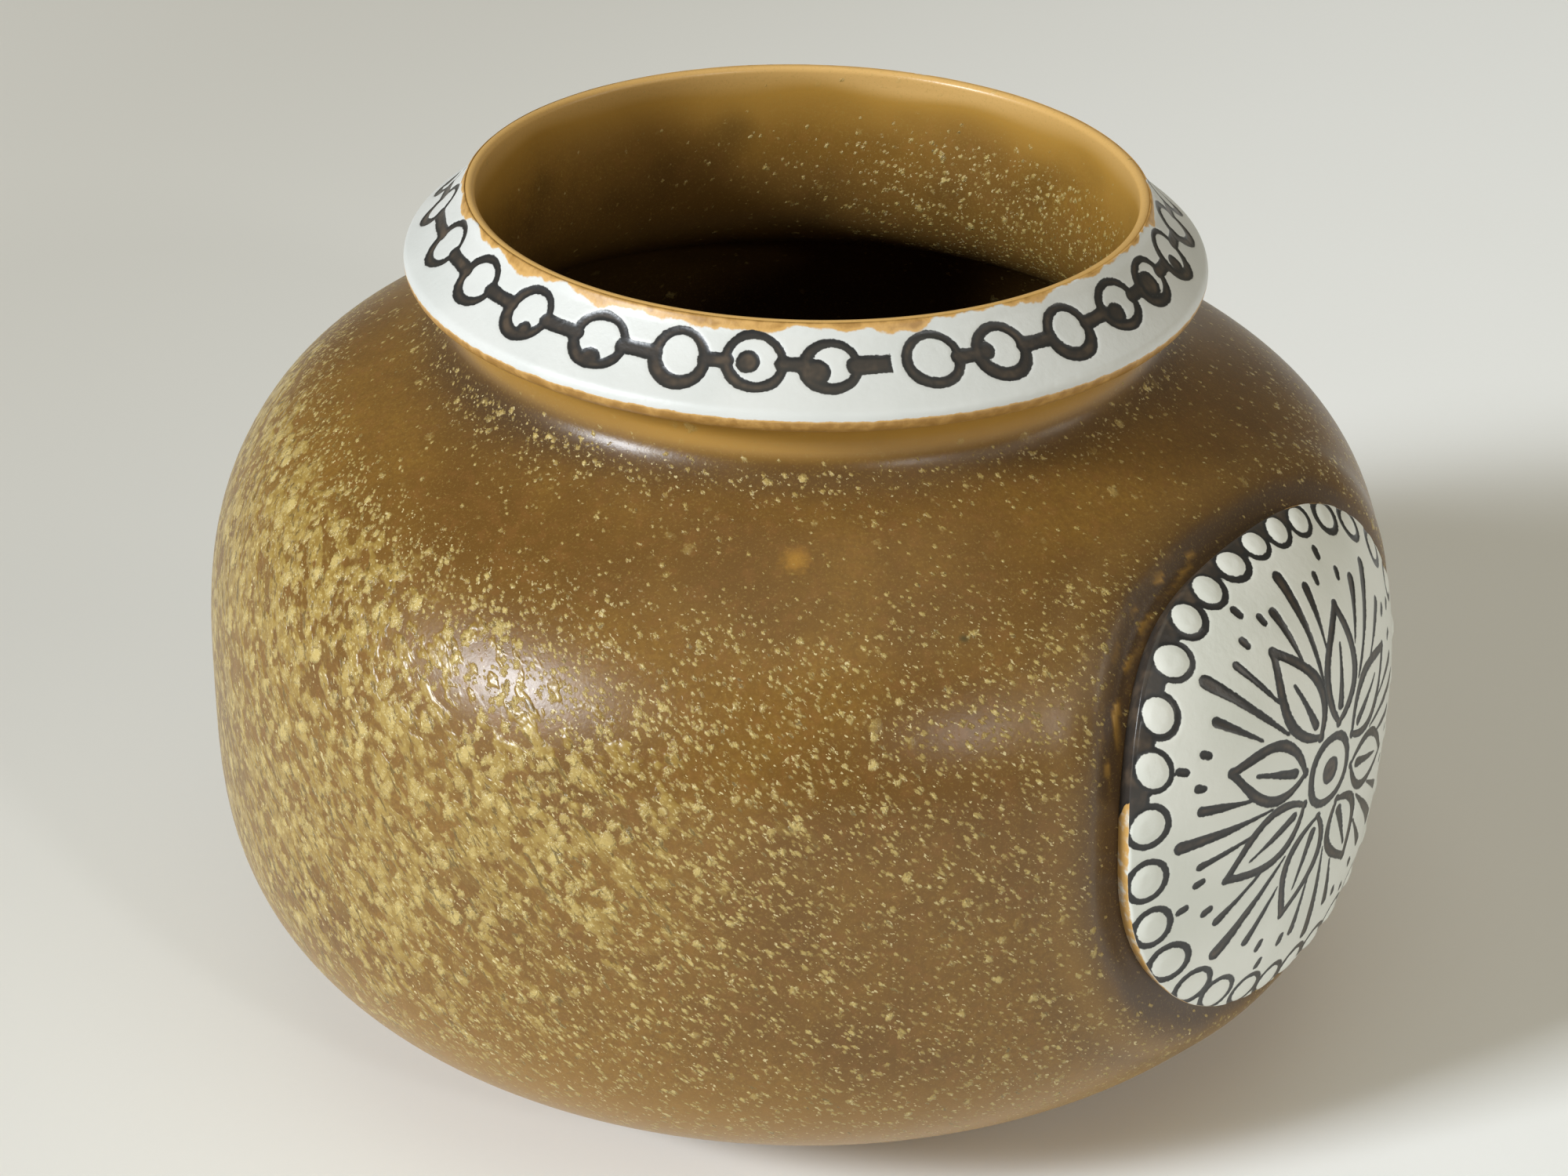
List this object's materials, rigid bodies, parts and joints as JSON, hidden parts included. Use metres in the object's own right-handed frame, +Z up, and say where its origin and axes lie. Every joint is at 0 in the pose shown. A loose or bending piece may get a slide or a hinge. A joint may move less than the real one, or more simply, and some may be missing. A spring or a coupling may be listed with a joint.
{
  "type": "ceramic vase",
  "caption": "Squat round glazed stoneware vase with a wide mouth, a flared white collar round its neck and a domed oval medallion with a pearl border set into the belly.",
  "frame": {"origin": "on the table, under the vase's axis, at the bottom of the foot ring", "axes": "+Z up along the turning axis; -Y towards the picture's viewer; the medallion faces 54 degrees from -Y towards +X"},
  "size_m": [0.165, 0.165, 0.1181],
  "materials": {
    "ochre_glaze": "satin, crystalline",
    "white_glaze": "satin white with dark brushwork",
    "medallion_glaze": "satin white with dark brushwork"
  },
  "bodies": {
    "root": {"thrown_body": "ochre_glaze", "collar_ring": "white_glaze", "medallion": "medallion_glaze"}
  },
  "joints": []
}
